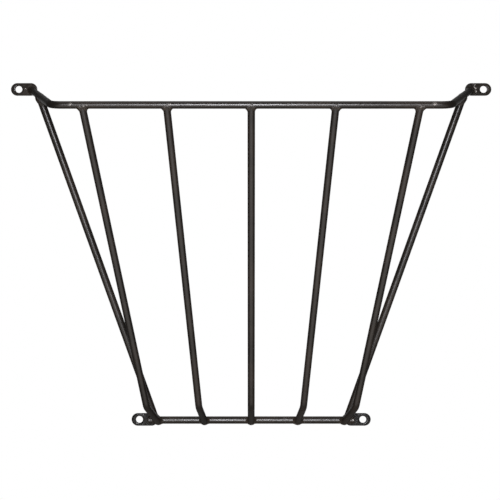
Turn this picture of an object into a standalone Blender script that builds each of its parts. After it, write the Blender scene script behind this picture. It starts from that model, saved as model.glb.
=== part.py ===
# Wall hay rack: round steel rods welded into a tapering basket front, hung on four screw lugs.
# Seen from the front, +X is right and +Z is up. +Y points into the wall, whose face is y = 0.
# The origin is on the wall, at mid-width, level with the bottom screw holes.

from math import cos, pi, radians, sin, tan

import bmesh
import bpy
from mathutils import Matrix, Vector

# Screw holes in the wall lugs
top_hole_spacing = 0.884
bottom_hole_spacing = 0.425
hole_rise = 0.628
screw_hole_diameter = 0.013

# Wall lugs, cut from flat bar with both ends rounded
lug_length = 0.050
lug_width = 0.024
lug_thickness = 0.005
lug_hole_inset = 0.015
lug_edge_radius = 0.0005

# Round stock: one size for the top rail and the bars, one for the rods that run along the wall
bar_diameter = 0.013
wall_rod_diameter = 0.014

# Top rail, whose ends are bent back to the wall as arms
rail_reach = 0.260
rail_drop = 0.058
rail_corner_spacing = 0.683
corner_bend_radius = 0.024
arm_seat_inset = 0.010
arm_seat_drop = 0.002

# Bottom rail, whose ends lie on the fronts of the bottom lugs
bottom_rail_overlap = 0.0165

# Front bars, which fan in towards the bottom and are bent back into feet
bar_count = 5
bar_top_pitch = 0.1447
bar_bend_pitch = 0.0965
bar_foot_pitch = 0.0874
bend_reach = 0.077
bend_height = 0.032
bar_bend_radius = 0.016
foot_drop = 0.0045
foot_bite = 0.0015

# Side rods, from under the arms down to the bottom rail
side_rod_top_reach = 0.109
side_rod_foot_spacing = 0.361

# Weld beads round the end of a rod: half widths at the seat, reach up the rod and sink below it
top_bead_seat = 0.0045
top_bead_along = 0.0138
top_bead_across = 0.0088
top_bead_reach = 0.0095
top_bead_sink = 0.0040
foot_bead_along = 0.0112
foot_bead_across = 0.0086
foot_bead_reach = 0.0080
foot_bead_sink = 0.0045
side_bead_along = 0.0120
side_bead_across = 0.0086
side_bead_sink = 0.0022
side_foot_bead_along = 0.0105
side_foot_bead_across = 0.0092
arm_bead_spread = 0.0090
arm_bead_reach = 0.0070
bead_lip = 0.0007

# Weld bead over the end of the bottom rail, as the half lengths of an oval lump
rail_end_bead_length = 0.0065
rail_end_bead_spread = 0.0106
rail_end_bead_height = 0.0080

# Gap left between pieces that touch
seat_gap = 0.0003

# Length of the screw hole's cutter, in lug thicknesses, and the least distance between mesh points
drill_reach = 4
point_merge = 1e-6

# Fineness of round shapes
rod_sides = 24
arc_step = radians(10)
lug_arc_sides = 12
hole_sides = 28
bead_segments = 20
bead_dome_rings = 3
bead_flare_rings = 4
lump_rings = 8
smooth_angle = radians(40)

# Paint finish: colour, roughness and metallic of each kind of piece
rod_finish = ((0.030, 0.027, 0.024, 1.0), 0.38, 0.0)
lug_finish = ((0.032, 0.029, 0.026, 1.0), 0.45, 0.0)
bead_finish = ((0.030, 0.025, 0.021, 1.0), 0.50, 0.0)

# Values that follow from the sizes above
bar_radius = bar_diameter / 2
wall_rod_radius = wall_rod_diameter / 2
bottom_rail_y = -(lug_thickness + seat_gap + wall_rod_radius)
lug_front_y = -lug_thickness
rail_z = hole_rise - rail_drop
sideways = Vector((1, 0, 0))
side_signs = {"left": -1, "right": 1}
outer_bars = {"left": 1, "right": bar_count}


def lug_inner_end(hole_spacing):
    """Distance from mid-width to the inner tip of the lugs with this hole spacing."""
    return hole_spacing / 2 + lug_hole_inset - lug_length


bottom_rail_half = lug_inner_end(bottom_hole_spacing) + bottom_rail_overlap


def clear_scene():
    for thing in list(bpy.data.objects):
        bpy.data.objects.remove(thing, do_unlink=True)


def paint(name, finish):
    colour, roughness, metallic = finish
    material = bpy.data.materials.new(name)
    material.use_nodes = True
    shader = material.node_tree.nodes["Principled BSDF"]
    shader.inputs["Base Color"].default_value = colour
    shader.inputs["Roughness"].default_value = roughness
    shader.inputs["Metallic"].default_value = metallic
    material.diffuse_color = colour
    return material


def place(name, mesh, location, rack, material):
    piece = bpy.data.objects.new(name, mesh)
    bpy.context.collection.objects.link(piece)
    piece.location = location
    piece.parent = rack
    if material:
        mesh.materials.append(material)
    return piece


def as_cutter(piece):
    piece.hide_render = True
    piece.display_type = "WIRE"
    return piece


def cut(piece, cutter):
    boolean = piece.modifiers.new("Cut by " + cutter.name, "BOOLEAN")
    boolean.operation = "DIFFERENCE"
    boolean.solver = "EXACT"
    boolean.use_self = True
    boolean.object = cutter


def fuse(piece, other):
    boolean = piece.modifiers.new("Joined to " + other.name, "BOOLEAN")
    boolean.operation = "UNION"
    boolean.solver = "EXACT"
    boolean.use_self = True
    boolean.object = other


def rounded_path(corners, bend_radius):
    """The corners joined by straight runs, with an arc of the bend radius at each inner one."""
    path = [corners[0]]
    for before, corner, after in zip(corners, corners[1:], corners[2:]):
        back = (before - corner).normalized()
        ahead = (after - corner).normalized()
        half_angle = back.angle(ahead) / 2
        centre = corner + (back + ahead).normalized() * bend_radius / sin(half_angle)
        run = bend_radius / tan(half_angle)
        first = (corner + back * run - centre).normalized()
        last = (corner + ahead * run - centre).normalized()
        steps = max(2, round((pi - 2 * half_angle) / arc_step))
        for step in range(steps + 1):
            path.append(centre + first.slerp(last, step / steps) * bend_radius)
    path.append(corners[-1])
    return path


def rod_mesh(name, path, radius):
    """A round rod swept along the path, with flat ends. Its origin is the path's first point."""
    curve = bpy.data.curves.new(name, "CURVE")
    curve.dimensions = "3D"
    curve.bevel_depth = radius
    curve.bevel_resolution = rod_sides // 2 - 2
    curve.use_fill_caps = True
    spline = curve.splines.new("POLY")
    spline.points.add(len(path) - 1)
    for point, spot in zip(spline.points, path):
        point.co = (*(spot - path[0]), 1)
    guide = bpy.data.objects.new(name, curve)
    mesh = bpy.data.meshes.new_from_object(guide)
    bpy.data.objects.remove(guide)
    bpy.data.curves.remove(curve)
    mesh.name = name
    shell = bmesh.new()
    shell.from_mesh(mesh)
    bmesh.ops.remove_doubles(shell, verts=shell.verts, dist=point_merge)
    bmesh.ops.recalc_face_normals(shell, faces=shell.faces)
    shell.to_mesh(mesh)
    shell.free()
    mesh.shade_smooth()
    mesh.set_sharp_from_angle(angle=smooth_angle)
    return mesh


def add_rod(name, path, radius, rack, material):
    return place(name, rod_mesh(name, path, radius), path[0], rack, material)


def add_rod_cutter(name, path, radius, rack):
    """The rod with its seat gap all round, for cutting what touches it."""
    return as_cutter(add_rod(name, path, radius + seat_gap, rack, None))


def add_wall_side_cutter(rack):
    """A block that fills everything behind the front faces of the lugs."""
    block = bmesh.new()
    half = max(top_hole_spacing, hole_rise)
    bmesh.ops.create_cube(block, size=2 * half)
    mesh = bpy.data.meshes.new("wall_side_cutter")
    block.to_mesh(mesh)
    block.free()
    middle = Vector((0, lug_front_y - seat_gap + half, hole_rise / 2))
    return as_cutter(place("wall_side_cutter", mesh, middle, rack, None))


def lug_plate():
    """A lug without its hole, with the hole's place at the origin and its long end towards +X."""
    end_radius = lug_width / 2
    outer = end_radius - lug_hole_inset
    inner = lug_length - lug_hole_inset - end_radius
    plate = bmesh.new()
    outline = []
    for centre_x, start in ((inner, -pi / 2), (outer, pi / 2)):
        for step in range(lug_arc_sides + 1):
            turn = Matrix.Rotation(start + pi * step / lug_arc_sides, 3, "Y")
            spoke = turn @ Vector((end_radius, 0, 0))
            outline.append(plate.verts.new((centre_x + spoke.x, 0, spoke.z)))
    face = plate.faces.new(outline)
    grown = bmesh.ops.extrude_face_region(plate, geom=[face])
    moved = [part for part in grown["geom"] if isinstance(part, bmesh.types.BMVert)]
    bmesh.ops.translate(plate, verts=moved, vec=(0, lug_front_y, 0))
    bmesh.ops.recalc_face_normals(plate, faces=plate.faces)
    mesh = bpy.data.meshes.new("lug_blank")
    plate.to_mesh(mesh)
    plate.free()
    return mesh


def screw_hole_drill():
    drill = bmesh.new()
    bmesh.ops.create_cone(
        drill,
        cap_ends=True,
        segments=hole_sides,
        radius1=screw_hole_diameter / 2,
        radius2=screw_hole_diameter / 2,
        depth=drill_reach * lug_thickness,
        matrix=Matrix.Rotation(pi / 2, 4, "X"),
    )
    mesh = bpy.data.meshes.new("screw_hole_cutter")
    drill.to_mesh(mesh)
    drill.free()
    return mesh


def lug_mesh(material):
    """One finished lug: the drilled plate with its edges rounded."""
    blank = place("lug_blank", lug_plate(), Vector(), None, None)
    drill = as_cutter(place("screw_hole_cutter", screw_hole_drill(), Vector(), None, None))
    cut(blank, drill)
    edges = blank.modifiers.new("Rounded edges", "BEVEL")
    edges.width = lug_edge_radius
    edges.segments = 1
    edges.limit_method = "ANGLE"
    edges.angle_limit = smooth_angle
    graph = bpy.context.evaluated_depsgraph_get()
    finished = bpy.data.meshes.new_from_object(blank.evaluated_get(graph))
    finished.name = "lug"
    finished.materials.clear()
    finished.materials.append(material)
    finished.shade_smooth()
    finished.set_sharp_from_angle(angle=smooth_angle)
    bpy.data.objects.remove(blank)
    bpy.data.objects.remove(drill)
    return finished


def add_lugs(rack, material):
    shared = lug_mesh(material)
    levels = {"top": (top_hole_spacing, hole_rise), "bottom": (bottom_hole_spacing, 0.0)}
    for level, (spacing, height) in levels.items():
        for word, side in side_signs.items():
            hole = Vector((side * spacing / 2, 0, height))
            lug = place(f"lug_{level}_{word}", shared, hole, rack, None)
            if word == "right":
                lug.rotation_euler = (0, pi, 0)


def joint_frame(rail_way, rod_way):
    """Rotation with x along the rail and z along the rod."""
    along_rod = rod_way.normalized()
    along_rail = (rail_way - along_rod * rail_way.dot(along_rod)).normalized()
    across = along_rod.cross(along_rail)
    return Matrix((along_rail, across, along_rod)).transposed().to_euler()


def bead_rings(lip, along, across, sink, reach):
    """Height and half widths of a bead's rings, from its domed back to its lip on the rod."""
    rings = []
    for step in range(1, bead_dome_rings + 1):
        angle = pi / 2 * step / bead_dome_rings
        rings.append((-sink * cos(angle), along * sin(angle), across * sin(angle)))
    for step in range(1, bead_flare_rings + 1):
        share = step / bead_flare_rings
        left = (1 - share) ** 2
        rings.append((reach * share, lip + (along - lip) * left, lip + (across - lip) * left))
    return rings


def add_flare(name, seat, rail_way, rod_way, rod_radius, sizes, growth, rack, material):
    """A weld fillet that flares from a rod out to the rail, as a solid of rings level with the rail."""
    lip = rod_radius + seat_gap + bead_lip + growth
    along, across, sink, reach = [size + growth for size in sizes]
    lean = 1 / tan(rail_way.angle(rod_way))
    shell = bmesh.new()
    half_step = 0.5
    loops = []
    for height, half_along, half_across in bead_rings(lip, along, across, sink, reach):
        loop = []
        for step in range(bead_segments):
            turn = 2 * pi * (step + half_step) / bead_segments
            x = half_along * cos(turn)
            loop.append(shell.verts.new((x, half_across * sin(turn), height + lean * x)))
        loops.append(loop)
    pole = shell.verts.new((0, 0, -sink))
    for step in range(bead_segments):
        ahead = (step + 1) % bead_segments
        shell.faces.new((pole, loops[0][ahead], loops[0][step]))
        for low, high in zip(loops, loops[1:]):
            shell.faces.new((low[step], low[ahead], high[ahead], high[step]))
    shell.faces.new(loops[-1])
    bmesh.ops.recalc_face_normals(shell, faces=shell.faces)
    mesh = bpy.data.meshes.new(name)
    shell.to_mesh(mesh)
    shell.free()
    mesh.shade_smooth()
    mesh.set_sharp_from_angle(angle=smooth_angle)
    piece = place(name, mesh, seat, rack, material)
    piece.rotation_euler = joint_frame(rail_way, rod_way)
    return piece


def add_lump(name, middle, rail_way, rod_way, halves, rack, material):
    """An oval lump with its length along the rail and its height along the rod."""
    lump = bmesh.new()
    bmesh.ops.create_uvsphere(
        lump,
        u_segments=bead_segments,
        v_segments=lump_rings,
        radius=1.0,
        matrix=Matrix.Diagonal((*halves, 1.0)),
    )
    mesh = bpy.data.meshes.new(name)
    lump.to_mesh(mesh)
    lump.free()
    mesh.shade_smooth()
    piece = place(name, mesh, middle, rack, material)
    piece.rotation_euler = joint_frame(rail_way, rod_way)
    return piece


def arm_ends(side):
    """The corner of the top rail on this side, and the spot where its arm meets the lug."""
    corner = Vector((side * rail_corner_spacing / 2, -rail_reach, rail_z))
    seat_x = lug_inner_end(top_hole_spacing) + arm_seat_inset
    seat = Vector((side * seat_x, lug_front_y, hole_rise - arm_seat_drop))
    return corner, seat


def top_rail_path():
    left_corner, left_seat = arm_ends(-1)
    right_corner, right_seat = arm_ends(1)
    left_past = left_seat + (left_seat - left_corner).normalized() * bar_diameter
    right_past = right_seat + (right_seat - right_corner).normalized() * bar_diameter
    return rounded_path([left_past, left_corner, right_corner, right_past], corner_bend_radius)


def bottom_rail_path(run_on=0.0):
    """The bottom rail's two ends, each carried on by this much where it is to cut what wraps it."""
    half = bottom_rail_half + run_on
    return [Vector((side * half, bottom_rail_y, 0)) for side in (-1, 1)]


def bar_corners(number):
    """Top, bend and foot of a front bar, on its centre line."""
    place_in_row = number - (bar_count + 1) / 2
    top = Vector((place_in_row * bar_top_pitch, -rail_reach, rail_z))
    bend = Vector((place_in_row * bar_bend_pitch, -bend_reach, bend_height))
    aim = Vector((place_in_row * bar_foot_pitch, bottom_rail_y, -foot_drop))
    end_y = bottom_rail_y - wall_rod_radius + foot_bite
    foot = bend.lerp(aim, (end_y - bend.y) / (aim.y - bend.y))
    return [top, bend, foot]


def side_rod_path(side):
    corner, seat = arm_ends(side)
    along = (side_rod_top_reach - rail_reach) / (lug_thickness - rail_reach)
    top = corner.lerp(seat, along)
    foot = Vector((side * side_rod_foot_spacing / 2, bottom_rail_y, 0))
    return [top, foot]


def weld_bar_tops(cutters, rack, material):
    sizes = (top_bead_along, top_bead_across, top_bead_sink, top_bead_reach)
    for number in range(1, bar_count + 1):
        top, bend, foot = bar_corners(number)
        down = (bend - top).normalized()
        seat = top + down * top_bead_seat
        name = f"weld_bar_{number}_top"
        bead = add_flare(name, seat, sideways, down, bar_radius, sizes, 0.0, rack, material)
        for joined in ("top_rail", f"bar_{number}"):
            cut(bead, cutters[joined])


def weld_side_rod_tops(cutters, rack, material):
    sizes = (side_bead_along, side_bead_across, side_bead_sink, top_bead_reach)
    for word, side in side_signs.items():
        corner, arm_end = arm_ends(side)
        top, foot = side_rod_path(side)
        down = (foot - top).normalized()
        seat = top + down * top_bead_seat
        arm_way = arm_end - corner
        name = f"weld_side_rod_{word}_top"
        bead = add_flare(name, seat, arm_way, down, wall_rod_radius, sizes, 0.0, rack, material)
        for joined in ("top_rail", f"side_rod_{word}"):
            cut(bead, cutters[joined])


def add_side_foot_flare(word, growth, rack):
    """The fillet at the foot of a side rod, grown on all sides where it is to cut a neighbour."""
    sizes = (side_foot_bead_along, side_foot_bead_across, foot_bead_sink, foot_bead_reach)
    top, landing = side_rod_path(side_signs[word])
    up = (top - landing).normalized()
    seat = landing + up * wall_rod_radius
    name = f"side_rod_{word}_foot_flare"
    return add_flare(name, seat, sideways, up, wall_rod_radius, sizes, growth, rack, None)


def weld_feet(cutters, rack, material):
    """Beads at the bottom rail. Each outer one also takes in the foot of the side rod beside it."""
    sizes = (foot_bead_along, foot_bead_across, foot_bead_sink, foot_bead_reach)
    outer_sides = {number: word for word, number in outer_bars.items()}
    for number in range(1, bar_count + 1):
        bend, foot = bar_corners(number)[1:]
        name = f"weld_bar_{number}_foot"
        bead = add_flare(name, foot, sideways, bend - foot, bar_radius, sizes, 0.0, rack, material)
        joined = ["bottom_rail_run_on", f"bar_{number}", "wall_side"]
        if number in outer_sides:
            word = outer_sides[number]
            fuse(bead, as_cutter(add_side_foot_flare(word, 0.0, rack)))
            cutters[f"flare_{word}"] = as_cutter(add_side_foot_flare(word, seat_gap, rack))
            joined.append(f"side_rod_{word}")
        for neighbour in joined:
            cut(bead, cutters[neighbour])


def weld_lugs(cutters, rack, material):
    outwards = Vector((0, -1, 0))
    arm_sizes = (arm_bead_spread, arm_bead_spread, lug_thickness, arm_bead_reach)
    end_sizes = (rail_end_bead_length, rail_end_bead_spread, rail_end_bead_height)
    for word, side in side_signs.items():
        corner, seat = arm_ends(side)
        name = f"weld_lug_top_{word}"
        bead = add_flare(
            name, seat, sideways, corner - seat, bar_radius, arm_sizes, 0.0, rack, material
        )
        for joined in ("top_rail", "wall_side"):
            cut(bead, cutters[joined])

        rail_end = Vector((side * bottom_rail_half, lug_front_y, 0))
        name = f"weld_lug_bottom_{word}"
        bead = add_lump(name, rail_end, sideways, outwards, end_sizes, rack, material)
        for joined in ("bottom_rail", "wall_side", f"flare_{word}"):
            cut(bead, cutters[joined])


def add_rods(rack, material):
    """All rods, each coped where it meets a rail. Returns the cutters that match them."""
    wall_side = add_wall_side_cutter(rack)
    rail_path = top_rail_path()
    low_path = bottom_rail_path()
    long_path = bottom_rail_path(rail_end_bead_length)
    cutters = {
        "wall_side": wall_side,
        "top_rail": add_rod_cutter("top_rail_cutter", rail_path, bar_radius, rack),
        "bottom_rail": add_rod_cutter("bottom_rail_cutter", low_path, wall_rod_radius, rack),
        "bottom_rail_run_on": add_rod_cutter("long_rail_cutter", long_path, wall_rod_radius, rack),
    }
    top_rail = add_rod("top_rail", rail_path, bar_radius, rack, material)
    cut(top_rail, wall_side)
    add_rod("bottom_rail", low_path, wall_rod_radius, rack, material)

    joins = {}
    for number in range(1, bar_count + 1):
        path = rounded_path(bar_corners(number), bar_bend_radius)
        joins[f"bar_{number}"] = (path, bar_radius, ["top_rail", "bottom_rail"])
    for word, side in side_signs.items():
        neighbours = ["top_rail", "bottom_rail", f"bar_{outer_bars[word]}"]
        joins[f"side_rod_{word}"] = (side_rod_path(side), wall_rod_radius, neighbours)
    for name, (path, radius, neighbours) in joins.items():
        rod = add_rod(name, path, radius, rack, material)
        for neighbour in neighbours:
            cut(rod, cutters[neighbour])
        cutters[name] = add_rod_cutter(f"{name}_cutter", path, radius, rack)
    return cutters


def build():
    clear_scene()
    rack = bpy.data.objects.new("hay_rack", None)
    bpy.context.collection.objects.link(rack)
    cutters = add_rods(rack, paint("rod_paint", rod_finish))
    add_lugs(rack, paint("lug_paint", lug_finish))
    bead_paint = paint("bead_paint", bead_finish)
    weld_bar_tops(cutters, rack, bead_paint)
    weld_feet(cutters, rack, bead_paint)
    weld_side_rod_tops(cutters, rack, bead_paint)
    weld_lugs(cutters, rack, bead_paint)


build()
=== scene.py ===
# Wall hay rack: welded round steel rods in worn black paint, seen square on from the front.
import random
from math import cos, pi, radians, sin, sqrt, tan

import bmesh
import bpy
from mathutils import Matrix, Vector, noise


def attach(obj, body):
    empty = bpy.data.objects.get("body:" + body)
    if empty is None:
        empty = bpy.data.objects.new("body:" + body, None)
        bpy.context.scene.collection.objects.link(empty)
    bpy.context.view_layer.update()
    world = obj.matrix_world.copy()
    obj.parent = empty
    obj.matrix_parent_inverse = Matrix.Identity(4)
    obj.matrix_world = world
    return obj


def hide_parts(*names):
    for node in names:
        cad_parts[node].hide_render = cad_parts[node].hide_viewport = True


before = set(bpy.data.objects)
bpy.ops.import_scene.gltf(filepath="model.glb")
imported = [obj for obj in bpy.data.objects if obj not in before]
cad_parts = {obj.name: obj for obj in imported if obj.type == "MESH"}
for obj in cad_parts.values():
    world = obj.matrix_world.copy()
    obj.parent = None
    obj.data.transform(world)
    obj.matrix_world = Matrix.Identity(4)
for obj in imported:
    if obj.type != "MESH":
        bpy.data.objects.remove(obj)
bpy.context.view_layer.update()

print("hay rack: frame loaded")

sides = {"left": -1, "right": 1}
alongX = Vector((1, 0, 0))
intoWall = Vector((0, 1, 0))

# Places shared by several pieces, in metres. y = 0 is the wall, z = 0 the bottom screw holes.
rack = {
    "topHoles": 0.884,
    "bottomHoles": 0.425,
    "holeRise": 0.628,
    "railReach": 0.260,
    "railZ": 0.570,
    "cornerSpacing": 0.683,
    "armSeatX": 0.417,
    "armSeatZ": 0.626,
    "lugFront": -0.005,
    "seatGap": 0.0003,
    "barRadius": 0.0065,
    "wallRodRadius": 0.007,
}
lowRailY = rack["lugFront"] - rack["seatGap"] - rack["wallRodRadius"]


class Wire:
    # One output socket. Sums and products with it add Math nodes to its tree.
    def __init__(self, graph, socket):
        self.graph = graph
        self.socket = socket

    def maths(self, operation, first, second=0.0):
        return self.graph.wire("ShaderNodeMath", {"operation": operation}, {0: first, 1: second})

    def __add__(self, other):
        return self.maths("ADD", self, other)

    def __radd__(self, other):
        return self.maths("ADD", other, self)

    def __sub__(self, other):
        return self.maths("SUBTRACT", self, other)

    def __rsub__(self, other):
        return self.maths("SUBTRACT", other, self)

    def __mul__(self, other):
        return self.maths("MULTIPLY", self, other)

    def __rmul__(self, other):
        return self.maths("MULTIPLY", other, self)

    def __truediv__(self, other):
        return self.maths("DIVIDE", self, other)

    def __rtruediv__(self, other):
        return self.maths("DIVIDE", other, self)

    def sine(self):
        return self.maths("SINE", self)

    def atLeast(self, other):
        return self.maths("MAXIMUM", self, other)

    def atMost(self, other):
        return self.maths("MINIMUM", self, other)

    def fade(self, low, high):
        # 0 at low, 1 at high, with a soft start and end
        values = {"Value": self, "From Min": low, "From Max": high}
        return self.graph.wire("ShaderNodeMapRange", {"interpolation_type": "SMOOTHSTEP"}, values)


class Graph:
    # A node tree, shader or geometry, that hands out nodes and wires.
    def __init__(self, tree):
        self.tree = tree

    def feed(self, node, values):
        for name, value in values.items():
            if isinstance(value, Wire):
                self.tree.links.new(value.socket, node.inputs[name])
            else:
                node.inputs[name].default_value = value

    def node(self, kind, settings=None, values=None):
        made = self.tree.nodes.new(kind)
        for name, value in (settings or {}).items():
            setattr(made, name, value)
        self.feed(made, values or {})
        return made

    def wire(self, kind, settings=None, values=None, out=0):
        return Wire(self, self.node(kind, settings, values).outputs[out])

    def stretched(self, vector, amounts):
        settings = {"operation": "MULTIPLY"}
        return self.wire("ShaderNodeVectorMath", settings, {0: vector, 1: amounts})

    def scaled(self, vector, amount):
        settings = {"operation": "SCALE"}
        return self.wire("ShaderNodeVectorMath", settings, {0: vector, "Scale": amount})

    def distance(self, vector, spot):
        settings = {"operation": "DISTANCE"}
        return self.wire("ShaderNodeVectorMath", settings, {0: vector, 1: spot}, out=1)

    def split(self, vector):
        parts = self.node("ShaderNodeSeparateXYZ", None, {0: vector})
        return [Wire(self, output) for output in parts.outputs]

    def vector(self, x, y, z):
        return self.wire("ShaderNodeCombineXYZ", None, {0: x, 1: y, 2: z})

    def clouds(self, vector, scale, detail=2.0, roughness=0.5):
        values = {"Vector": vector, "Scale": scale, "Detail": detail, "Roughness": roughness}
        return self.wire("ShaderNodeTexNoise", {"noise_dimensions": "3D"}, values)

    def blend(self, factor, first, second):
        settings = {"data_type": "RGBA"}
        return self.wire("ShaderNodeMix", settings, {0: factor, 6: first, 7: second}, out=2)

    def entries(self):
        given = self.node("NodeGroupInput")
        return {socket.name: Wire(self, socket) for socket in given.outputs if socket.name}

    def leave(self, geometry, material):
        real = self.wire("GeometryNodeRealizeInstances", None, {"Geometry": geometry})
        values = {"Geometry": real, "Material": material}
        coated = self.wire("GeometryNodeSetMaterial", None, values)
        self.node("NodeGroupOutput", None, {0: coated})


# Paint

paintLook = {
    "black": (0.0135, 0.0105, 0.0080, 1.0),
    "faded": (0.0275, 0.0195, 0.0140, 1.0),
    # painted shade: the near-black colour the bottom lugs are painted with
    "paintedShadeLowLug": (0.0025, 0.0022, 0.0015, 1.0),
    "scorched": (0.056, 0.038, 0.025, 1.0),
    "bareSteel": (0.34, 0.32, 0.30, 1.0),
    "dust": (0.12, 0.105, 0.090, 1.0),
    "steelRoughness": 0.42,
    "fadedDullness": 0.05,
    "lineDullness": 0.02,
    "lineStretch": (1.0, 1.0, 0.035),
    "leastMottle": 0.03,
    "mottleDullness": 0.08,
    "dustShare": 0.10,
    "chipShare": 1.1,
    "chipFloor": 0.80,
    "reliefDepth": 0.0003,
}

# Each piece's paint: lines, scorch and mottle say how much of that pattern it has
finishes = {
    "rodPaint": {"gloss": 0.32, "ior": 1.68, "lines": 0.01, "scorch": 0.0, "mottle": 0.0},
    "lugPaint": {"gloss": 0.17, "ior": 1.48, "lines": 0.0, "scorch": 0.0, "mottle": 0.20},
    "beadPaint": {"gloss": 0.40, "ior": 1.68, "lines": 0.0, "scorch": 0.8, "mottle": 0.0},
}

# Noise in the paint: scale, detail and roughness
grain = {
    "blotches": (16.0, 4.0, 0.6),
    "peel": (420.0, 3.0, 0.5),
    "waves": (34.0, 2.0, 0.5),
    "burns": (240.0, 4.0, 0.7),
    "lines": (1100.0, 2.0, 0.5),
    "mottling": (330.0, 5.0, 0.7),
    "chips": (420.0, 3.0, 0.65),
}

# Where a pattern starts and where it is full. Height is in metres, the rest runs from 0 to 1.
fades = {
    "age": (0.40, 0.66),
    "burns": (0.42, 0.62),
    "mottling": (0.50, 0.68),
    "dustPatches": (0.35, 0.7),
    "rubbed": (0.0, 0.30),
    "facingUp": (0.55, 1.0),
    "height": (0.1, 0.5),
}

# How much each pattern counts in the paint's relief
relief = {"waves": 2.2, "peel": 0.02, "mottling": 0.25, "rubbed": 0.3}

# Spots where the paint is rubbed or chipped: place, reach and how much of it is gone
rubbedSpots = {
    "railLeft": ((-0.3085, -0.2665, 0.5712), 0.0058, 0.62),
    "railRight": ((0.3125, -0.2662, 0.5725), 0.0062, 0.95),
    "lugTopLeft": ((-0.4290, -0.0050, 0.6285), 0.0030, 0.62),
    "lugTopRightHigh": ((0.4240, -0.0050, 0.6370), 0.0060, 0.46),
    "lugTopRightMid": ((0.4250, -0.0050, 0.6300), 0.0066, 0.50),
    "lugTopRightLow": ((0.4270, -0.0050, 0.6240), 0.0054, 0.44),
    "lugBottomLeft": ((-0.1945, -0.0190, 0.0010), 0.0036, 0.45),
    "lugBottomRight": ((0.1925, -0.0190, 0.0010), 0.0040, 0.66),
    "armLeft": ((-0.4081, -0.0579, 0.6153), 0.0055, 0.66),
    "armRightBack": ((0.4125, -0.0414, 0.6158), 0.0050, 0.66),
    "armRightFront": ((0.4101, -0.0493, 0.6141), 0.0050, 0.62),
    "bar1Bead": ((-0.2856, -0.2672, 0.5667), 0.0038, 0.80),
    "bar1BeadRight": ((-0.2799, -0.2668, 0.5684), 0.0034, 0.52),
    "bar2Bead": ((-0.1390, -0.2665, 0.5703), 0.0062, 0.40),
    "bar5Bead": ((0.2895, -0.2668, 0.5655), 0.0040, 0.78),
    "bar5BeadRight": ((0.2948, -0.2668, 0.5672), 0.0034, 0.52),
}


def rubbedMask(graph, place):
    mask = None
    for spot, reach, share in rubbedSpots.values():
        near = (1.0 - graph.distance(place, spot) / reach).atLeast(0.0) * share
        mask = near if mask is None else mask.atLeast(near)
    chips = graph.clouds(place, *grain["chips"]) * paintLook["chipShare"]
    return (mask + chips - paintLook["chipFloor"]).fade(*fades["rubbed"])


def settledDust(graph, blotches):
    # in patches, on what faces up
    geometry = graph.node("ShaderNodeNewGeometry")
    upward = graph.split(Wire(graph, geometry.outputs["Normal"]))[2]
    patches = blotches.fade(*fades["dustPatches"])
    return upward.fade(*fades["facingUp"]) * patches * paintLook["dustShare"]


def paint(name, finish):
    # Black paint. A rod's has faint draw lines along it and a bead's is browner. A lug's is
    # mottled, and carries painted shade: its colour is painted darker towards the bottom lugs.
    material = bpy.data.materials.new(name)
    material.use_nodes = True
    graph = Graph(material.node_tree)
    place = graph.wire("ShaderNodeTexCoord", out=3)
    blotches = graph.clouds(place, *grain["blotches"])
    peel = graph.clouds(place, *grain["peel"])
    waves = graph.clouds(place, *grain["waves"])
    age = blotches.fade(*fades["age"])
    colour = graph.blend(age, paintLook["black"], paintLook["faded"])
    height = waves * relief["waves"] + peel * relief["peel"]
    roughness = finish["gloss"] + age * paintLook["fadedDullness"]
    if finish["scorch"]:
        burns = graph.clouds(place, *grain["burns"]).fade(*fades["burns"])
        colour = graph.blend(burns * finish["scorch"], colour, paintLook["scorched"])
    if finish["lines"]:
        rodPlace = graph.wire("ShaderNodeAttribute", {"attribute_name": "rodPlace"}, out=1)
        lengthwise = graph.stretched(rodPlace, paintLook["lineStretch"])
        lines = graph.clouds(lengthwise, *grain["lines"])
        height = height + lines * finish["lines"]
        roughness = roughness + (lines - 0.5) * paintLook["lineDullness"]
    if finish["mottle"]:
        marks = graph.clouds(place, *grain["mottling"])
        height = height + marks * relief["mottling"]
        # painted shade: the lug colour is painted near black towards the bottom, darkest on the
        # bottom lugs
        high = graph.split(place)[2].fade(*fades["height"])
        colour = graph.blend(high, paintLook["paintedShadeLowLug"], colour)
        amount = high * finish["mottle"] + paintLook["leastMottle"]
        thin = marks.fade(*fades["mottling"]) * amount
        colour = graph.blend(thin, colour, paintLook["dust"])
        roughness = roughness + thin * paintLook["mottleDullness"]
    colour = graph.blend(settledDust(graph, blotches), colour, paintLook["dust"])
    rubbed = rubbedMask(graph, place)
    colour = graph.blend(rubbed, colour, paintLook["bareSteel"])
    roughness = roughness + rubbed * (paintLook["steelRoughness"] - finish["gloss"])
    bump = graph.wire("ShaderNodeBump", None, {
        "Strength": 1.0,
        "Distance": paintLook["reliefDepth"],
        "Height": height - rubbed * relief["rubbed"],
    })
    graph.feed(material.node_tree.nodes["Principled BSDF"], {
        "IOR": finish["ior"],
        "Base Color": colour,
        "Roughness": roughness.atMost(1.0),
        "Metallic": rubbed,
        "Normal": bump,
    })
    return material


paints = {name: paint(name, finish) for name, finish in finishes.items()}
print("hay rack: paints mixed")


# Tools for pieces

# Edges that turn by less than this, in degrees, are shaded smooth
smoothBelow = {"rod": 50, "lug": 35, "weld": 60}


def placed(name, data):
    thing = bpy.data.objects.new(name, data)
    bpy.context.scene.collection.objects.link(thing)
    return thing


def finished(thing):
    # The evaluated object as a plain mesh object at the origin, without its modifiers
    graph = bpy.context.evaluated_depsgraph_get()
    mesh = bpy.data.meshes.new_from_object(thing.evaluated_get(graph))
    mesh.name = thing.name
    name = thing.name
    bpy.data.objects.remove(thing)
    return placed(name, mesh)


def handOver(piece, kind, node=None):
    piece.data.shade_smooth()
    piece.data.set_sharp_from_angle(angle=radians(smoothBelow[kind]))
    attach(piece, "root")
    if node:
        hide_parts(node)


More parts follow.
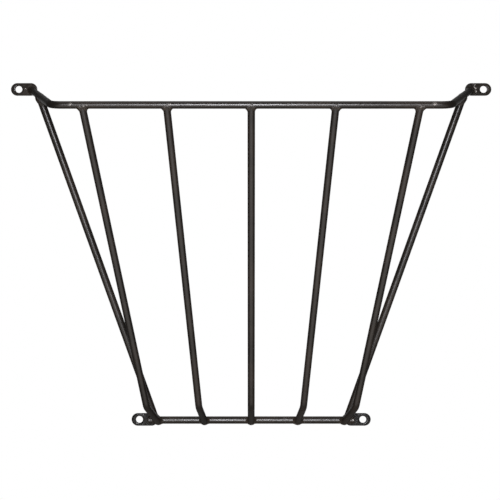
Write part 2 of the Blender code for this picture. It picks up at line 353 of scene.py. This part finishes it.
def newTree(name, inputs):
    tree = bpy.data.node_groups.new(name, "GeometryNodeTree")
    tree.interface.new_socket("Geometry", in_out="INPUT", socket_type="NodeSocketGeometry")
    for label, (kind, value) in inputs.items():
        socket = tree.interface.new_socket(label, in_out="INPUT", socket_type=kind)
        if value is not None:
            socket.default_value = value
    tree.interface.new_socket("Geometry", in_out="OUTPUT", socket_type="NodeSocketGeometry")
    return tree


def useTree(thing, tree, values):
    modifier = thing.modifiers.new(tree.name, "NODES")
    modifier.node_group = tree
    entries = [item for item in tree.interface.items_tree if item.in_out == "INPUT"]
    sockets = {item.name: item.identifier for item in entries}
    for label, value in values.items():
        modifier[sockets[label]] = value


arcs = {"stepDegrees": 3, "fewestSteps": 4}


def rounded(corners, bendRadius):
    # Straight runs between the corners, with an arc at each inner one
    path = [corners[0]]
    for before, corner, after in zip(corners, corners[1:], corners[2:]):
        back = (before - corner).normalized()
        ahead = (after - corner).normalized()
        half = back.angle(ahead) / 2
        centre = corner + (back + ahead).normalized() * bendRadius / sin(half)
        run = bendRadius / tan(half)
        first = (corner + back * run - centre).normalized()
        last = (corner + ahead * run - centre).normalized()
        steps = max(arcs["fewestSteps"], round((pi - 2 * half) / radians(arcs["stepDegrees"])))
        for step in range(steps + 1):
            path.append(centre + first.slerp(last, step / steps) * bendRadius)
    return path + [corners[-1]]


def addSpline(curve, spots, closed=False):
    spline = curve.splines.new("POLY")
    spline.points.add(len(spots) - 1)
    spline.use_cyclic_u = closed
    for point, spot in zip(spline.points, spots):
        point.co = (*spot, 1)


def routeCurve(name, path):
    curve = bpy.data.curves.new(name, "CURVE")
    curve.dimensions = "3D"
    addSpline(curve, path)
    return placed(name, curve)


# Rods

rodShape = {
    "Ring Spacing": 0.004,
    "Sides": 48,
    "Dent Depth": 0.00006,
    "Dent Size": 0.045,
}


def rodTree():
    tree = newTree("roundRod", {
        "Radius": ("NodeSocketFloat", rack["barRadius"]),
        "Ring Spacing": ("NodeSocketFloat", rodShape["Ring Spacing"]),
        "Sides": ("NodeSocketInt", rodShape["Sides"]),
        "Dent Depth": ("NodeSocketFloat", rodShape["Dent Depth"]),
        "Dent Size": ("NodeSocketFloat", rodShape["Dent Size"]),
        "Seed": ("NodeSocketFloat", 0.0),
        "Material": ("NodeSocketMaterial", None),
    })
    graph = Graph(tree)
    entry = graph.entries()
    rings = graph.wire("GeometryNodeResampleCurve", {"mode": "LENGTH"},
                       {"Curve": entry["Geometry"], "Length": entry["Ring Spacing"]})
    route = graph.node("GeometryNodeCaptureAttribute")
    route.capture_items.new("FLOAT", "travelled")
    graph.feed(route, {0: rings, 1: graph.wire("GeometryNodeSplineParameter", out=1)})
    circle = graph.wire("GeometryNodeCurvePrimitiveCircle", None,
                        {"Resolution": entry["Sides"], "Radius": entry["Radius"]})
    section = graph.node("GeometryNodeCaptureAttribute")
    section.capture_items.new("VECTOR", "around")
    graph.feed(section, {0: circle, 1: graph.wire("GeometryNodeInputPosition")})
    swept = graph.wire("GeometryNodeCurveToMesh", None, {
        "Curve": Wire(graph, route.outputs[0]),
        "Profile Curve": Wire(graph, section.outputs[0]),
        "Fill Caps": True,
    })
    # the place on the rod as if it were straight, for the dents and the paint's draw lines
    across, up, _ = graph.split(Wire(graph, section.outputs[1]))
    rodPlace = graph.vector(across, up, Wire(graph, route.outputs[1]) + entry["Seed"])
    marked = graph.wire("GeometryNodeStoreNamedAttribute",
                        {"data_type": "FLOAT_VECTOR", "domain": "POINT"},
                        {"Geometry": swept, "Name": "rodPlace", "Value": rodPlace})
    dents = graph.clouds(rodPlace, 1.0 / entry["Dent Size"], detail=0.0)
    inward = (dents * -1.0) * entry["Dent Depth"]
    push = graph.scaled(graph.wire("GeometryNodeInputNormal"), inward)
    dented = graph.wire("GeometryNodeSetPosition", None, {"Geometry": marked, "Offset": push})
    graph.leave(dented, entry["Material"])
    return tree


roundRod = rodTree()

topRail = {"cornerBend": 0.024, "armSink": 0.0025, "seed": 1}
bars = {
    "count": 5,
    "topPitch": 0.1447,
    "bendPitch": 0.0965,
    "footPitch": 0.0874,
    "bendReach": 0.077,
    "bendHeight": 0.032,
    "bendRadius": 0.016,
    "footDrop": 0.0045,
    "footBite": 0.0015,
    "seed": 10,
}
sideRods = {"topReach": 0.109, "footSpacing": 0.361, "seed": 20}
bottomRail = {"half": 0.194, "seed": 30}


def makeRod(name, path, radius, seed, node):
    thing = routeCurve(name, path)
    values = {"Radius": radius, "Seed": float(seed), "Material": paints["rodPaint"]}
    useTree(thing, roundRod, values)
    handOver(finished(thing), "rod", node)


def armEnds(side):
    corner = Vector((side * rack["cornerSpacing"] / 2, -rack["railReach"], rack["railZ"]))
    seat = Vector((side * rack["armSeatX"], rack["lugFront"], rack["armSeatZ"]))
    return corner, seat


def barCorners(number):
    row = number - (bars["count"] + 1) / 2
    top = Vector((row * bars["topPitch"], -rack["railReach"], rack["railZ"]))
    bend = Vector((row * bars["bendPitch"], -bars["bendReach"], bars["bendHeight"]))
    aim = Vector((row * bars["footPitch"], lowRailY, -bars["footDrop"]))
    endY = lowRailY - rack["wallRodRadius"] + bars["footBite"]
    foot = bend.lerp(aim, (endY - bend.y) / (aim.y - bend.y))
    return top, bend, foot


def sideRodEnds(side):
    corner, seat = armEnds(side)
    reach = rack["railReach"]
    along = (sideRods["topReach"] - reach) / (-rack["lugFront"] - reach)
    foot = Vector((side * sideRods["footSpacing"] / 2, lowRailY, 0))
    return corner.lerp(seat, along), foot


def makeTopRail():
    corners = []
    for side in sides.values():
        corner, seat = armEnds(side)
        sunk = seat + (seat - corner).normalized() * topRail["armSink"]
        corners += [sunk, corner] if side < 0 else [corner, sunk]
    path = rounded(corners, topRail["cornerBend"])
    makeRod("topRail", path, rack["barRadius"], topRail["seed"], "top_rail")


def makeBars():
    for number in range(1, bars["count"] + 1):
        path = rounded(barCorners(number), bars["bendRadius"])
        seed = bars["seed"] + number
        makeRod(f"bar{number}", path, rack["barRadius"], seed, f"bar_{number}")


def makeSideRods():
    for word, side in sides.items():
        name, seed = f"sideRod{word.title()}", sideRods["seed"] + side
        makeRod(name, sideRodEnds(side), rack["wallRodRadius"], seed, f"side_rod_{word}")


def makeBottomRail():
    ends = [Vector((side * bottomRail["half"], lowRailY, 0)) for side in sides.values()]
    makeRod("bottomRail", ends, rack["wallRodRadius"], bottomRail["seed"], "bottom_rail")


makeTopRail()
makeBars()
makeSideRods()
makeBottomRail()
print("hay rack: rods bent")


# Lugs

lug = {
    "length": 0.050,
    "width": 0.024,
    "thickness": 0.005,
    "holeInset": 0.015,
    "hole": 0.013,
    "edge": 0.0020,
    "edgeSteps": 5,
    "arcSteps": 32,
    "dentDepth": 0.00012,
    "dentSize": 0.006,
    "dentFrom": 0.6,  # share of the thickness, from the back
    "mergeWithin": 1e-6,
    "longestEdge": 0.0022,
    "cutRounds": 3,
}


def lugOutline():
    end = lug["width"] / 2
    outer = end - lug["holeInset"]
    inner = lug["length"] - lug["holeInset"] - end
    points = []
    for centre, start in ((inner, -pi / 2), (outer, pi / 2)):
        for step in range(lug["arcSteps"] + 1):
            turn = start + pi * step / lug["arcSteps"]
            points.append((centre + end * cos(turn), end * sin(turn), 0))
    return points


def holeOutline():
    radius = lug["hole"] / 2
    steps = 2 * lug["arcSteps"]
    turns = [2 * pi * step / steps for step in range(steps)]
    return [(radius * cos(turn), radius * sin(turn), 0) for turn in turns]


def lugCurve(name):
    curve = bpy.data.curves.new(name, "CURVE")
    curve.dimensions = "2D"
    curve.fill_mode = "BOTH"
    curve.extrude = lug["thickness"] / 2 - lug["edge"]
    curve.bevel_depth = lug["edge"]
    curve.bevel_resolution = lug["edgeSteps"]
    curve.offset = -lug["edge"]
    for outline in (lugOutline(), holeOutline()):
        addSpline(curve, outline, closed=True)
    return placed(name, curve)


def dentFront(mesh):
    shell = bmesh.new()
    shell.from_mesh(mesh)
    bmesh.ops.remove_doubles(shell, verts=shell.verts, dist=lug["mergeWithin"])
    bmesh.ops.triangulate(shell, faces=shell.faces)
    for _ in range(lug["cutRounds"]):
        long = [edge for edge in shell.edges if edge.calc_length() > lug["longestEdge"]]
        bmesh.ops.subdivide_edges(shell, edges=long, cuts=1)
        bmesh.ops.triangulate(shell, faces=shell.faces)
    bmesh.ops.recalc_face_normals(shell, faces=shell.faces)
    for vert in shell.verts:
        if vert.co.y < rack["lugFront"] * lug["dentFrom"]:
            dent = noise.noise(vert.co / lug["dentSize"]) + 1
            vert.co.y += dent * lug["dentDepth"]
    shell.to_mesh(mesh)
    shell.free()


def makeLug(name, node, hole, side):
    piece = finished(lugCurve(name))
    piece.data.materials.append(paints["lugPaint"])
    # upright, back on the wall, long end towards the middle
    turn = Matrix.Rotation(pi / 2, 4, "X")
    if side > 0:
        turn = Matrix.Rotation(pi, 4, "Y") @ turn
    middle = hole + Vector((0, rack["lugFront"] / 2, 0))
    piece.data.transform(Matrix.Translation(middle) @ turn)
    dentFront(piece.data)
    handOver(piece, "lug", node)


lugRows = {
    "top": (rack["topHoles"], rack["holeRise"]),
    "bottom": (rack["bottomHoles"], 0),
}
for level, (spacing, rise) in lugRows.items():
    for word, side in sides.items():
        hole = Vector((side * spacing / 2, 0, rise))
        makeLug(f"lug{level.title()}{word.title()}", f"lug_{level}_{word}", hole, side)
print("hay rack: lugs cut")


# Welds

class RoundBar:
    # The surface of a rod, as something to weld to
    def __init__(self, point, direction, radius):
        self.point = point
        self.direction = direction.normalized()
        self.radius = radius

    def flat(self, vector):
        return vector - self.direction * vector.dot(self.direction)

    def normal(self, spot):
        return self.flat(spot - self.point).normalized()

    def snap(self, spot):
        outward = self.flat(spot - self.point)
        return spot - outward + outward.normalized() * self.radius

    def hit(self, start, heading):
        # where a line first meets the surface, or passes nearest to it
        offset = self.flat(start - self.point)
        pace = self.flat(heading)
        square = pace.length_squared
        half = offset.dot(pace)
        under = max(0.0, half * half - square * (offset.length_squared - self.radius ** 2))
        return start + heading * ((-half - sqrt(under)) / square)


class FlatFace:
    # A flat surface, as something to weld to
    def __init__(self, point, outward):
        self.point = point
        self.outward = outward.normalized()

    def normal(self, spot):
        return self.outward

    def snap(self, spot):
        return spot - self.outward * (spot - self.point).dot(self.outward)

    def hit(self, start, heading):
        travel = (self.point - start).dot(self.outward) / heading.dot(self.outward)
        return start + heading * travel


fillet = {
    "columns": 144,
    "rows": 9,
    "sink": 0.0006,
    "hollow": 0.12,
    "unevenness": 0.10,
    "wavesRound": (1, 2, 3, 5),
    "waveShare": (0.5, 1.0),
    "startOut": 0.03,
}


def jointLine(rodSpot, away, radius, target):
    # Round the rod's end: turn, way out, corner with the surface welded to, and slope along it
    sideA = away.orthogonal().normalized()
    sideB = away.cross(sideA)
    count = fillet["columns"]
    turns = [2 * pi * step / count for step in range(count)]
    outwards = [sideA * cos(turn) + sideB * sin(turn) for turn in turns]
    corners = []
    for outward in outwards:
        start = rodSpot + outward * radius + away * fillet["startOut"]
        corners.append(target.hit(start, -away))
    slopes = []
    for step in range(count):
        tangent = corners[(step + 1) % count] - corners[step - 1]
        slopes.append(tangent.cross(target.normal(corners[step])).normalized())
    if sum(slope.dot(outward) for slope, outward in zip(slopes, outwards)) < 0:
        slopes = [-slope for slope in slopes]
    return zip(turns, outwards, corners, slopes)


def crossSection(outward, corner, slope, away, target, look, swell):
    # Spots with their share of the way up and their crown: the open side, then three in the metal
    foot = target.snap(corner + slope * look["spread"] * swell)
    foot -= target.normal(foot) * rack["seatGap"]
    head = corner + away * look["climb"] * swell - outward * rack["seatGap"]
    elbow = corner.lerp((foot + head) / 2, fillet["hollow"])
    outside = (outward + target.normal(corner)).normalized()
    openness = max(0.0, -slope.dot(away))  # 1 where rod and rail run on in one line
    rise = look["rise"] + look["cap"] * openness
    section = []
    for row in range(fillet["rows"]):
        share = row / (fillet["rows"] - 1)
        spot = foot * (1 - share) ** 2 + elbow * 2 * share * (1 - share) + head * share ** 2
        crown = sin(pi * share)
        section.append((spot + outside * rise * crown, share, crown))
    sink = fillet["sink"]
    deep = corner - outward * sink - target.normal(corner) * sink
    for spot in (head - outward * sink, deep, foot - target.normal(foot) * sink):
        section.append((spot, 0, 0))
    return section


def filletMesh(rodSpot, away, radius, target, look, seed):
    # A ring of weld round the end of a rod: a hollow sweep from what it is welded to, up the rod
    away = away.normalized()
    dice = random.Random(seed)
    waves = [(k, dice.uniform(0, 2 * pi), dice.uniform(*fillet["waveShare"]) / k)
             for k in fillet["wavesRound"]]
    shell = bmesh.new()
    weight = shell.verts.layers.float.new("crown")
    ringPlace = shell.verts.layers.float_vector.new("ringPlace")
    rings = []
    for turn, outward, corner, slope in jointLine(rodSpot, away, radius, target):
        unevenness = sum(share * sin(k * turn + phase) for k, phase, share in waves)
        swell = 1 + fillet["unevenness"] * unevenness
        ring = []
        for spot, share, crown in crossSection(outward, corner, slope, away, target, look, swell):
            vert = shell.verts.new(spot)
            vert[weight] = crown
            vert[ringPlace] = (cos(turn), sin(turn), share)
            ring.append(vert)
        rings.append(ring)
    for here, there in zip(rings, rings[1:] + rings[:1]):
        for row in range(len(here)):
            after = (row + 1) % len(here)
            shell.faces.new((here[row], there[row], there[after], here[after]))
    bmesh.ops.recalc_face_normals(shell, faces=shell.faces)
    mesh = bpy.data.meshes.new("fillet")
    shell.to_mesh(mesh)
    shell.free()
    return mesh


weldSkin = {
    "Ripples": 22,
    "Ripple Height": 0.00030,
    "Lump Height": 0.0011,
    "Lump Size": 0.0060,
    "Spatter Density": 26000.0,
    "Spatter Size": 0.00042,
    "Front Limit": -0.2666,
}
weldDetail = {
    "rippleLean": 2.4,
    "lumpMiddle": 0.52,
    "lumpGrain": (3.0, 0.55),  # the noise's detail and roughness
    "spatterFrom": 0.15,
    "dropSizes": (0.45, 1.2),
    "dropRoundness": 2,
}


def weldTree():
    tree = newTree("weldSkin", {
        **{label: ("NodeSocketFloat", value) for label, value in weldSkin.items()},
        "Seed": ("NodeSocketFloat", 0.0),
        "Material": ("NodeSocketMaterial", None),
    })
    graph = Graph(tree)
    entry = graph.entries()
    attribute = "GeometryNodeInputNamedAttribute"
    crown = graph.wire(attribute, {"data_type": "FLOAT"}, {"Name": "crown"})
    ringPlace = graph.wire(attribute, {"data_type": "FLOAT_VECTOR"}, {"Name": "ringPlace"})
    cosine, sine, share = graph.split(ringPlace)
    turn = graph.wire("ShaderNodeMath", {"operation": "ARCTAN2"}, {0: sine, 1: cosine})
    lean = share * share * weldDetail["rippleLean"]
    ripples = (turn * entry["Ripples"] + lean).sine() * entry["Ripple Height"]
    place = graph.wire("GeometryNodeInputPosition")
    shifted = graph.wire("ShaderNodeVectorMath", {"operation": "ADD"}, {0: place, 1: entry["Seed"]})
    lumps = graph.clouds(shifted, 1.0 / entry["Lump Size"], *weldDetail["lumpGrain"])
    bulge = ripples + (lumps - weldDetail["lumpMiddle"]) * entry["Lump Height"]
    push = graph.scaled(graph.wire("GeometryNodeInputNormal"), bulge * crown)
    lumpy = graph.wire("GeometryNodeSetPosition", None,
                       {"Geometry": entry["Geometry"], "Offset": push})
    # little drops of spatter, set into the open side of the weld
    openSide = graph.wire("FunctionNodeCompare",
                          {"data_type": "FLOAT", "operation": "GREATER_THAN"},
                          {0: crown, 1: weldDetail["spatterFrom"]})
    spots = graph.wire("GeometryNodeDistributePointsOnFaces", {"distribute_method": "RANDOM"}, {
        "Mesh": lumpy,
        "Selection": openSide,
        "Density": entry["Spatter Density"],
        "Seed": graph.wire("FunctionNodeFloatToInt", None, {0: entry["Seed"]}),
    })
    drop = graph.wire("GeometryNodeMeshIcoSphere", None, {
        "Radius": entry["Spatter Size"],
        "Subdivisions": weldDetail["dropRoundness"],
    })
    smallest, largest = weldDetail["dropSizes"]
    sizes = graph.wire("FunctionNodeRandomValue", {"data_type": "FLOAT"},
                       {2: smallest, 3: largest}, out=1)
    drops = graph.wire("GeometryNodeInstanceOnPoints", None,
                       {"Points": spots, "Instance": drop, "Scale": sizes})
    joined = graph.node("GeometryNodeJoinGeometry")
    for part in (lumpy, drops):
        graph.feed(joined, {0: part})
    real = graph.wire("GeometryNodeRealizeInstances", None,
                      {"Geometry": Wire(graph, joined.outputs[0])})
    # nothing stands out past the front of the rack
    x, y, z = graph.split(graph.wire("GeometryNodeInputPosition"))
    held = graph.vector(x, y.atLeast(entry["Front Limit"]), z)
    kept = graph.wire("GeometryNodeSetPosition", None, {"Geometry": real, "Position": held})
    graph.leave(kept, entry["Material"])
    return tree


weldCoat = weldTree()

# How far a weld spreads from the corner and climbs the rod, how full it is, and how much
# fuller where rod and rail run on in one line
welds = {
    "barTop": {"spread": 0.0048, "climb": 0.0064, "rise": 0.0001, "cap": 0.0011, "seed": 40},
    "barFoot": {"spread": 0.0042, "climb": 0.0050, "rise": 0.0006, "cap": 0.0009, "seed": 50},
    "sideTop": {"spread": 0.0050, "climb": 0.0120, "rise": 0.0012, "cap": 0.0010, "seed": 60},
    "sideFoot": {"spread": 0.0034, "climb": 0.0050, "rise": 0.0004, "cap": 0.0006, "seed": 70},
    "arm": {"spread": 0.0020, "climb": 0.0034, "rise": 0.0004, "cap": 0.0, "seed": 80},
}


def runWeld(name, kind, number, rod, target, node=None):
    # rod is where its end is, where it heads from there, and its radius
    seed = welds[kind]["seed"] + number
    thing = placed(name, filletMesh(*rod, target, welds[kind], seed))
    useTree(thing, weldCoat, {"Seed": float(seed), "Material": paints["beadPaint"]})
    handOver(finished(thing), "weld", node)


frontRail = RoundBar(Vector((0, -rack["railReach"], rack["railZ"])), alongX, rack["barRadius"])
lowRail = RoundBar(Vector((0, lowRailY, 0)), alongX, rack["wallRodRadius"])
lugFace = FlatFace(Vector((0, rack["lugFront"], 0)), -intoWall)


def makeBarWelds():
    radius = rack["barRadius"]
    for number in range(1, bars["count"] + 1):
        top, bend, foot = barCorners(number)
        runWeld(f"barTopWeld{number}", "barTop", number, (top, bend - top, radius), frontRail,
                f"weld_bar_{number}_top")
        runWeld(f"barFootWeld{number}", "barFoot", number, (foot, bend - foot, radius), lowRail,
                f"weld_bar_{number}_foot")


def makeSideWelds():
    radius = rack["wallRodRadius"]
    for word, side in sides.items():
        corner, seat = armEnds(side)
        top, foot = sideRodEnds(side)
        arm = RoundBar(corner, seat - corner, rack["barRadius"])
        place = word.title()
        runWeld(f"sideTopWeld{place}", "sideTop", side, (top, foot - top, radius), arm,
                f"weld_side_rod_{word}_top")
        runWeld(f"sideFootWeld{place}", "sideFoot", side, (foot, top - foot, radius), lowRail)
        runWeld(f"armWeld{place}", "arm", side, (seat, corner - seat, rack["barRadius"]), lugFace,
                f"weld_lug_top_{word}")


railEndWeld = {
    "radius": 0.0028,
    "length": 0.011,
    "past": 0.0012,
    "bend": 0.0045,
    "offset": 0.0066,
    "lift": 0.0010,
    "lump": 0.0018,
    "lumpSize": 0.0045,
    "spacing": 0.0006,
    "sides": 20,
    "seed": 3.0,
}


def makeRailEndWeld(word, side):
    # A rope of weld that runs along both sides of the rail and round its end, on the lug's face
    tip = side * bottomRail["half"]
    start = tip - side * railEndWeld["length"]
    end = tip + side * railEndWeld["past"]
    y = rack["lugFront"] - railEndWeld["lift"]
    offset = railEndWeld["offset"]
    corners = [Vector((x, y, z)) for x, z in
               ((start, offset), (end, offset), (end, -offset), (start, -offset))]
    thing = routeCurve(f"railEndWeld{word.title()}", rounded(corners, railEndWeld["bend"]))
    useTree(thing, roundRod, {
        "Radius": railEndWeld["radius"],
        "Ring Spacing": railEndWeld["spacing"],
        "Sides": railEndWeld["sides"],
        "Dent Depth": railEndWeld["lump"],
        "Dent Size": railEndWeld["lumpSize"],
        "Seed": railEndWeld["seed"] + side,
        "Material": paints["beadPaint"],
    })
    handOver(finished(thing), "weld", f"weld_lug_bottom_{word}")


makeBarWelds()
makeSideWelds()
for word, side in sides.items():
    makeRailEndWeld(word, side)
print("hay rack: welds run")


# Floor and light

floorLook = {
    "drop": 1.5,
    "half": 4.0,
    "middle": (0.0, -0.13),
    "fadeFrom": 1.5,
    "fadeTo": 3.2,
    "colour": (0.8, 0.79, 0.77, 1.0),
    "glow": 0.6,
}
room = {
    "colour": (1.0, 1.0, 1.0, 1.0),
    "dim": 0.05,
    "behindFrom": 0.88,
    "behindTo": 0.94,
    "mirrored": 0.35,
}


def whereSeen(graph, mirrored):
    # 1 to the camera, and as much as given in reflections and through glass
    rays = graph.node("ShaderNodeLightPath")
    kinds = ("Is Camera Ray", "Is Glossy Ray", "Is Transmission Ray")
    camera, glossy, through = [Wire(graph, rays.outputs[kind]) for kind in kinds]
    return camera.atLeast(glossy.atLeast(through) * mirrored)


def floorMaterial():
    # Pale paper that fades out far from the rack
    material = bpy.data.materials.new("floorPaper")
    material.use_nodes = True
    graph = Graph(material.node_tree)
    material.node_tree.nodes.clear()
    place = graph.wire("ShaderNodeTexCoord", out=3)
    away = graph.distance(place, (*floorLook["middle"], -floorLook["drop"]))
    paper = graph.wire("ShaderNodeBsdfDiffuse", None, {"Color": floorLook["colour"]})
    glow = graph.wire("ShaderNodeEmission", None, {
        "Color": floorLook["colour"],
        "Strength": whereSeen(graph, room["dim"]) * floorLook["glow"],
    })
    lit = graph.wire("ShaderNodeAddShader", None, {0: paper, 1: glow})
    clear = graph.wire("ShaderNodeBsdfTransparent")
    edge = away.fade(floorLook["fadeFrom"], floorLook["fadeTo"])
    mixed = graph.wire("ShaderNodeMixShader", None, {0: edge, 1: lit, 2: clear})
    graph.node("ShaderNodeOutputMaterial", None, {"Surface": mixed})
    material.cycles.emission_sampling = "NONE"
    return material


def makeFloor():
    half, low = floorLook["half"], -floorLook["drop"]
    corners = [(-half, -half, low), (half, -half, low), (half, half, low), (-half, half, low)]
    mesh = bpy.data.meshes.new("floor")
    mesh.from_pydata(corners, [], [(0, 1, 2, 3)])
    mesh.materials.append(floorMaterial())
    placed("floor", mesh)


def makeRoom():
    # White to the camera from every side. The black paint mirrors that white only from behind the
    # rack, as in the photograph: the rest of the room is dim.
    world = bpy.data.worlds.new("room")
    bpy.context.scene.world = world
    world.use_nodes = True
    graph = Graph(world.node_tree)
    heading = graph.split(graph.wire("ShaderNodeTexCoord"))[1]
    behind = heading.fade(room["behindFrom"], room["behindTo"])
    strength = whereSeen(graph, behind * room["mirrored"]).atLeast(room["dim"])
    background = world.node_tree.nodes["Background"]
    graph.feed(background, {"Color": room["colour"], "Strength": strength})
    world.cycles.sampling_method = "NONE"  # the lamps light the rack, so they get the samples


cool, warm = (0.96, 0.96, 1.0), (1.0, 0.95, 0.9)
lampAim = Vector((0, -0.15, 0.32))
lamps = {
    "strip": {
        "place": (-0.03, -2.62, 0.50),
        "size": (0.20, 1.25),
        "watts": 5.6,
        "colour": cool,
        "spread": 60,
    },
    "front": {
        "place": (0.0, -3.0, 0.60),
        "size": (3.0, 0.8),
        "watts": 3.6,
        "colour": warm,
        "spread": 180,
    },
    "low": {
        "place": (0.0, -1.45, -0.64),
        "size": (4.0, 1.0),
        "watts": 9.0,
        "colour": warm,
        "spread": 180,
    },
    "overhead": {
        "place": (0.0, -0.6, 2.9),
        "size": (2.6, 2.0),
        "watts": 9.0,
        "colour": warm,
        "spread": 180,
    },
}


def makeLamp(name, look):
    light = bpy.data.lights.new(name, "AREA")
    light.shape = "RECTANGLE"
    light.size, light.size_y = look["size"]
    light.energy = look["watts"]
    light.color = look["colour"]
    light.spread = radians(look["spread"])
    lamp = placed(name, light)
    lamp.location = look["place"]
    lamp.visible_camera = False
    aim = lampAim - lamp.location
    lamp.rotation_euler = aim.to_track_quat("-Z", "Y").to_euler()


# The picture is 500 pixels square, taken level and square on.
view = {
    "distance": 2.5,
    "across": -0.0022,
    "holeRow": 160.72,
    "focalPixels": 1312.1,
    "pictureWidth": 500,
    "sensorWidth": 36,
}


def makeCamera():
    data = bpy.data.cameras.new("camera")
    data.sensor_width = view["sensorWidth"]
    data.lens = data.sensor_width * view["focalPixels"] / view["pictureWidth"]
    camera = placed("camera", data)
    drop = view["holeRow"] * (view["distance"] + rack["lugFront"]) / view["focalPixels"]
    camera.location = (view["across"], -view["distance"], rack["holeRise"] - drop)
    camera.rotation_euler = (radians(90), 0, 0)
    bpy.context.scene.camera = camera


makeFloor()
makeRoom()
for name, look in lamps.items():
    makeLamp(name, look)
makeCamera()
bpy.context.scene.view_settings.view_transform = "Standard"
print("hay rack: lit")
